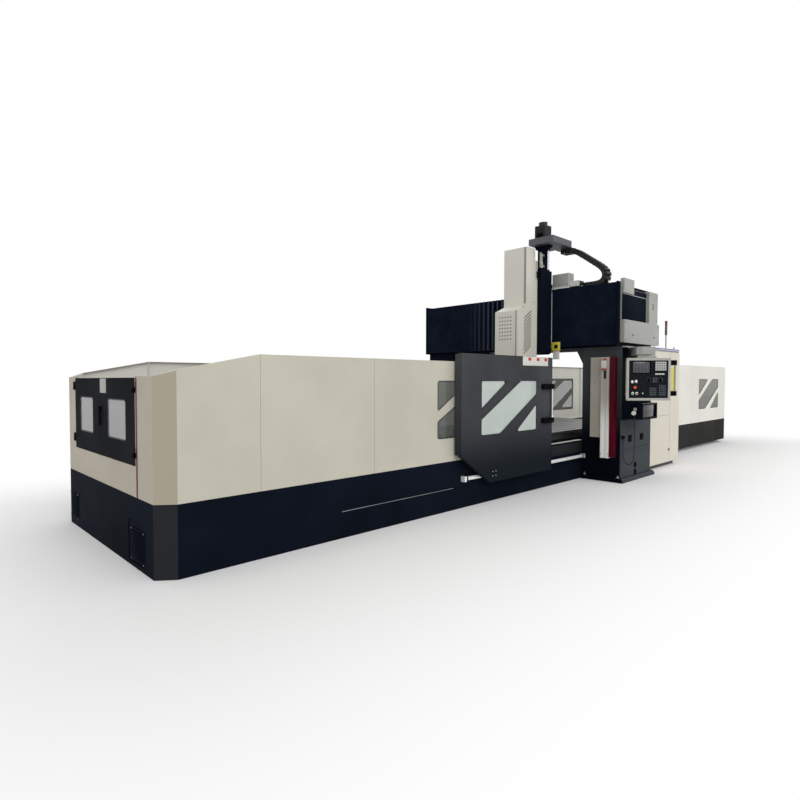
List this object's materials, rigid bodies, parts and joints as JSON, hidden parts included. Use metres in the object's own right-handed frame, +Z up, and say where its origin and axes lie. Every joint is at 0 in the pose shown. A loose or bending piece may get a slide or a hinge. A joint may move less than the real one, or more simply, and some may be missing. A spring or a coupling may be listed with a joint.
{
  "type": "cnc gantry milling machine",
  "caption": "Double-column milling machine: long guarded bed with a moving table, a fixed gantry with a travelling vertical head, a cabinet and a swinging operator pendant.",
  "frame": {"origin": "on the floor under the middle of the bed, between the two columns", "axes": "+X along the bed away from the loading end with double doors, +Y away from the operator's side, +Z up"},
  "size_m": [15.032, 4.7465, 4.245],
  "materials": {
    "cream_paint": "satin light paint on the guards, doors, cabinet and head",
    "navy_paint": "satin dark blue-black paint on the castings and skirts",
    "grey_paint": "dark grey paint on the sliding door",
    "mid_grey_paint": "mid grey paint on motor trays and covers",
    "red_paint": "dark red trim",
    "white_paint": "near-white covers beside the doorway",
    "bed_casting": "painted casting",
    "table_iron": "ground cast iron",
    "ground_steel": "ground steel rails",
    "cover_steel": "bright steel sheet",
    "chrome": "polished round rail",
    "glass": "clear safety glass",
    "bellows_fabric": "coated folded fabric",
    "black_plastic": "moulded black plastic",
    "pale_plastic": "moulded pale plastic",
    "red_plastic": "moulded red plastic",
    "green_plastic": "moulded green plastic",
    "aluminium": "painted aluminium case",
    "cord_rubber": "rubber sheath"
  },
  "bodies": {
    "frame": {"bed": "bed_casting", "linear_rails": "ground_steel", "left_skirt": "navy_paint", "right_skirt": "navy_paint", "near_left_guard": "cream_paint", "far_left_guard": "cream_paint", "near_right_guard": "cream_paint", "far_right_guard": "cream_paint", "left_end_panel": "cream_paint", "right_end_panel": "cream_paint", "guard_glass": "glass", "end_hinges": "navy_paint", "fixed_way_covers": "cover_steel", "door_rail": "chrome", "near_column": "navy_paint", "far_column": "navy_paint", "column_glands": "black_plastic", "jamb_cover": "cream_paint", "jamb_strip": "white_paint", "red_trim": "red_paint", "crossbeam": "navy_paint", "far_bellows": "bellows_fabric", "near_bellows": "bellows_fabric", "beam_end_cover": "mid_grey_paint", "cabinet": "cream_paint", "signal_tower": "pale_plastic", "operator_box": "navy_paint", "cable_chain": "black_plastic", "handwheel_cord": "cord_rubber", "handwheel_unit": "black_plastic"},
    "table": {"table": "table_iron", "table_way_covers": "cover_steel"},
    "left_middle_cover": {"left_middle_cover": "cover_steel"},
    "right_middle_cover": {"right_middle_cover": "cover_steel"},
    "carriage": {"carriage_saddle": "navy_paint", "z_column": "navy_paint", "motor_tray": "mid_grey_paint", "z_motor": "grey_paint"},
    "head": {"head_cover": "cream_paint", "spindle_ram": "navy_paint"},
    "spindle": {"spindle": "ground_steel"},
    "sliding_door": {"sliding_door": "grey_paint", "sliding_door_glass": "glass", "door_pull": "black_plastic"},
    "near_end_door": {"near_end_door": "grey_paint", "near_end_glass": "glass"},
    "far_end_door": {"far_end_door": "grey_paint", "far_end_glass": "glass"},
    "end_door_handle": {"end_door_handle": "black_plastic"},
    "cabinet_lower_door": {"cabinet_lower_door": "cream_paint"},
    "cabinet_upper_door": {"cabinet_upper_door": "cream_paint"},
    "pendant_arm": {"pendant_arm": "aluminium"},
    "pendant": {"pendant_case": "aluminium", "pendant_face": "black_plastic"},
    "stop_button": {"stop_button": "red_plastic"},
    "start_key": {"start_key": "green_plastic"},
    "hold_key": {"hold_key": "red_plastic"},
    "feed_dial": {"feed_dial": "black_plastic"},
    "speed_dial": {"speed_dial": "black_plastic"},
    "handwheel_dial": {"handwheel_dial": "pale_plastic"}
  },
  "joints": [
    {"name": "table_slide", "type": "slide", "parent": "frame", "child": "table", "axis": [1, 0, 0], "range_m": [-2.3, 2.3]},
    {"name": "left_middle_cover_slide", "type": "slide", "parent": "frame", "child": "left_middle_cover", "axis": [1, 0, 0], "range_m": [-1.16, 1.16]},
    {"name": "right_middle_cover_slide", "type": "slide", "parent": "frame", "child": "right_middle_cover", "axis": [1, 0, 0], "range_m": [-1.16, 1.16]},
    {"name": "carriage_slide", "type": "slide", "parent": "frame", "child": "carriage", "axis": [0, 1, 0], "range_m": [-0.5, 1.65], "deforming": ["near_bellows", "far_bellows", "cable_chain"]},
    {"name": "head_slide", "type": "slide", "parent": "carriage", "child": "head", "axis": [0, 0, 1], "range_m": [-0.5, 0.25]},
    {"name": "spindle_spin", "type": "hinge", "parent": "head", "child": "spindle", "pos_m": [-1.34, -0.575, 1.4], "axis": [0, 0, 1], "continuous": true},
    {"name": "door_slide", "type": "slide", "parent": "frame", "child": "sliding_door", "axis": [1, 0, 0], "range_m": [0, 1.16]},
    {"name": "near_end_door_hinge", "type": "hinge", "parent": "frame", "child": "near_end_door", "pos_m": [-7.512, -0.852, 1.25], "axis": [0, 0, 1], "range_deg": [0, 110]},
    {"name": "far_end_door_hinge", "type": "hinge", "parent": "frame", "child": "far_end_door", "pos_m": [-7.512, 0.991, 1.25], "axis": [0, 0, -1], "range_deg": [0, 110]},
    {"name": "end_door_handle_turn", "type": "hinge", "parent": "near_end_door", "child": "end_door_handle", "pos_m": [-7.507, 0.05, 1.346], "axis": [-1, 0, 0], "range_deg": [0, 90]},
    {"name": "cabinet_lower_door_hinge", "type": "hinge", "parent": "frame", "child": "cabinet_lower_door", "pos_m": [0.862, -1.874, 0.56], "axis": [0, 0, -1], "range_deg": [0, 110]},
    {"name": "cabinet_upper_door_hinge", "type": "hinge", "parent": "frame", "child": "cabinet_upper_door", "pos_m": [0.862, -1.874, 1.57], "axis": [0, 0, -1], "range_deg": [0, 110]},
    {"name": "arm_swing", "type": "hinge", "parent": "frame", "child": "pendant_arm", "pos_m": [-0.25, -2.085, 2.05], "axis": [0, 0, 1], "range_deg": [-15, 50]},
    {"name": "pendant_swivel", "type": "hinge", "parent": "pendant_arm", "child": "pendant", "pos_m": [-0.61394, -2.30513, 2], "axis": [0, 0, 1], "range_deg": [-45, 30]},
    {"name": "stop_button_push", "type": "slide", "parent": "pendant", "child": "stop_button", "axis": [0.6756, 0.7373, 0], "range_m": [0, 0.006]},
    {"name": "start_key_push", "type": "slide", "parent": "pendant", "child": "start_key", "axis": [0.6756, 0.7373, 0], "range_m": [0, 0.004], "stiffness_N_per_m": 600},
    {"name": "hold_key_push", "type": "slide", "parent": "pendant", "child": "hold_key", "axis": [0.6756, 0.7373, 0], "range_m": [0, 0.004], "stiffness_N_per_m": 600},
    {"name": "feed_dial_turn", "type": "hinge", "parent": "pendant", "child": "feed_dial", "pos_m": [-0.57, -2.42, 1.624], "axis": [-0.6756, -0.7373, 0], "range_deg": [-135, 135]},
    {"name": "speed_dial_turn", "type": "hinge", "parent": "pendant", "child": "speed_dial", "pos_m": [-0.43729, -2.54161, 1.624], "axis": [-0.6756, -0.7373, 0], "range_deg": [-135, 135]},
    {"name": "handwheel_dial_turn", "type": "hinge", "parent": "frame", "child": "handwheel_dial", "pos_m": [-0.57, -2.21, 1.112], "axis": [-1, 0, 0], "continuous": true}
  ],
  "couplings": [
    {"joint": "left_middle_cover_slide", "follows": "table_slide", "ratio": 0.5},
    {"joint": "right_middle_cover_slide", "follows": "table_slide", "ratio": 0.5}
  ]
}
